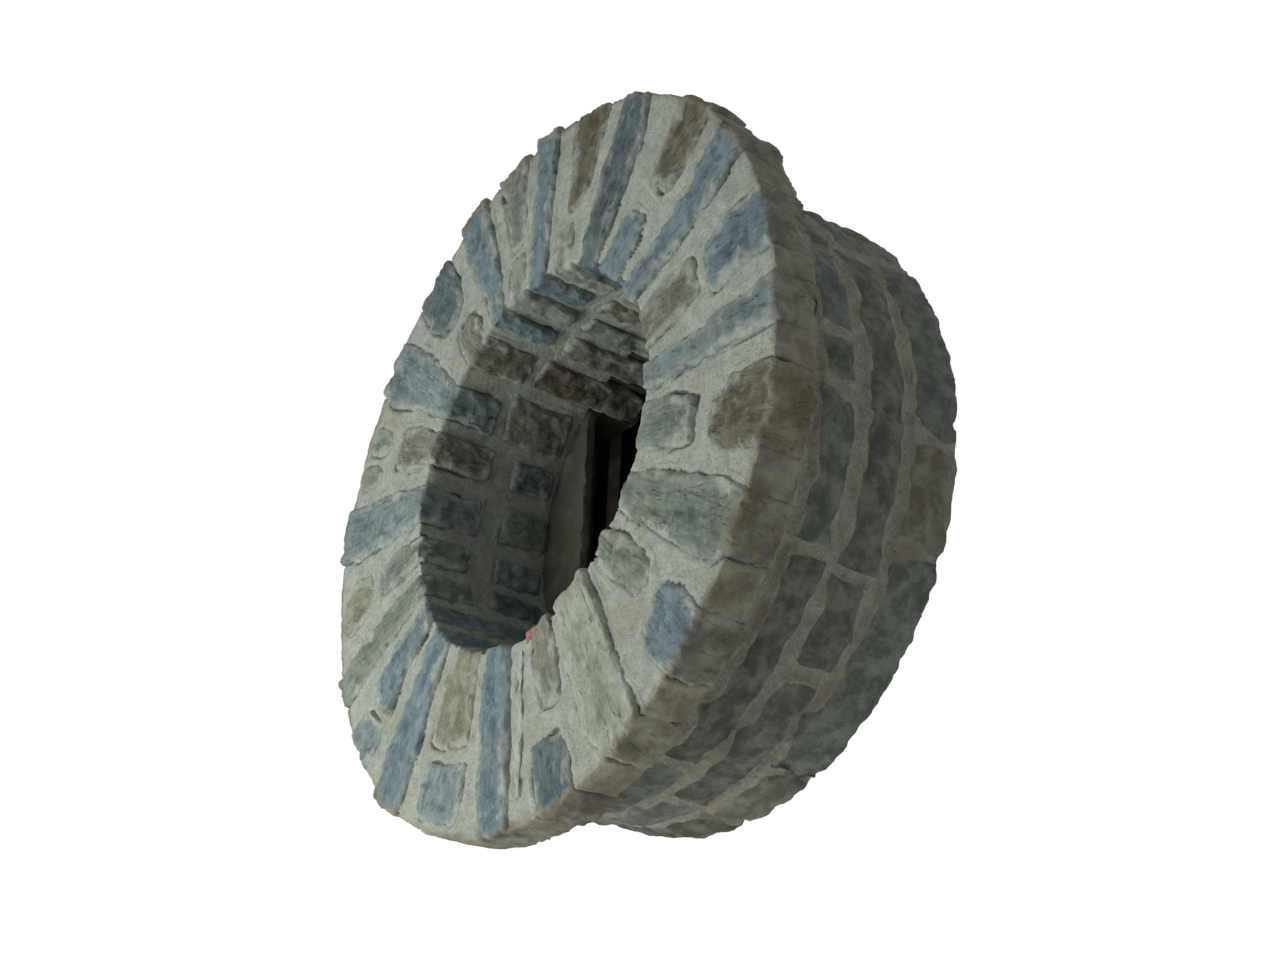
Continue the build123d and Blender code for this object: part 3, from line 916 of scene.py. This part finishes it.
def make_world():
    """Soft daylight from all round, with a white background to look at."""
    world = bpy.data.worlds.new("studio")
    bpy.context.scene.world = world
    world.use_nodes = True
    tree = world.node_tree
    sky = tree.nodes["Background"]
    sky.inputs["Color"].default_value = (0.97, 1.0, 0.98, 1)
    sky.inputs["Strength"].default_value = 0.38
    white = put(tree, "ShaderNodeBackground", {"Color": (1, 1, 1, 1), "Strength": 1.0})
    path = put(tree, "ShaderNodeLightPath")
    seen = math_node(tree, "MAXIMUM", path.outputs["Is Camera Ray"], path.outputs["Is Glossy Ray"])
    seen = math_node(tree, "MAXIMUM", seen, path.outputs["Is Transmission Ray"])
    blend = put(tree, "ShaderNodeMixShader", {0: seen, 1: sky.outputs[0], 2: white.outputs[0]})
    tree.links.new(blend.outputs[0], tree.nodes["World Output"].inputs["Surface"])


def make_lamp(name, place, aim, size, power, colour):
    """A large soft lamp turned towards a point."""
    data = bpy.data.lights.new(name, "AREA")
    data.shape = "DISK"
    data.size = size
    data.energy = power
    data.color = colour
    lamp = bpy.data.objects.new(name, data)
    bpy.context.scene.collection.objects.link(lamp)
    lamp.location = place
    lamp.rotation_euler = (Vector(aim) - Vector(place)).to_track_quat("-Z", "Y").to_euler()


def make_camera():
    """The photographer's place and angle, turned a little to centre the window, with a longer lens."""
    forward = Vector((
        -math.sin(camera_yaw) * math.cos(camera_pitch),
        math.cos(camera_yaw) * math.cos(camera_pitch),
        math.sin(camera_pitch),
    ))
    level = Vector((math.cos(camera_yaw), math.sin(camera_yaw), 0))
    down = forward.cross(level)
    right = math.cos(camera_roll) * level + math.sin(camera_roll) * down
    up = math.sin(camera_roll) * level - math.cos(camera_roll) * down
    turn = forward.rotation_difference(aim_point - camera_place).to_matrix()
    columns = [turn @ right, turn @ up, turn @ -forward]
    data = bpy.data.cameras.new("camera")
    data.lens = photo_lens * closeness
    data.sensor_width = 36
    camera = bpy.data.objects.new("camera", data)
    bpy.context.scene.collection.objects.link(camera)
    camera.matrix_world = Matrix.Translation(camera_place) @ Matrix(columns).transposed().to_4x4()
    bpy.context.scene.camera = camera


make_camera()
make_floor()
make_world()
make_lamp("key", (-0.75, -1.70, -0.85), (0, 0, -0.15), 1.8, 39, (0.99, 1.0, 0.98))
make_lamp("back", (-1.30, 2.60, 0.90), (0, 0.20, 0), 2.5, 60, (0.98, 0.99, 1.0))
bpy.context.scene.view_settings.view_transform = "Standard"

split_stone = split_stone_effect()
lime_mortar = lime_mortar_effect()
stone_materials = {kind: stone_material(kind, split_stone, *values) for kind, values in KINDS.items()}
joint_mortar = mortar_material("joint_mortar", lime_mortar, LIME, tone(126, 122, 106), 0.35)
core_rubble = rubble_material("core_rubble", lime_mortar)

stone_nodes = [part["node"] for part in frame["record"]["subparts"] if part["material_slot"] in KINDS]
make_stones(stone_materials, brick_material())
make_core(core_rubble)
make_bed(joint_mortar, tree_of(*stone_nodes))
make_frame(timber_material("timber_upright", "Z"), timber_material("timber_level", "X"))
for node, material in (("glass_pane", glass_material()), ("frame_screws", steel_material()),
                       ("glazing_putty", putty_material())):
    nodes[node].data.materials.clear()
    nodes[node].data.materials.append(material)

bpy.context.view_layer.update()
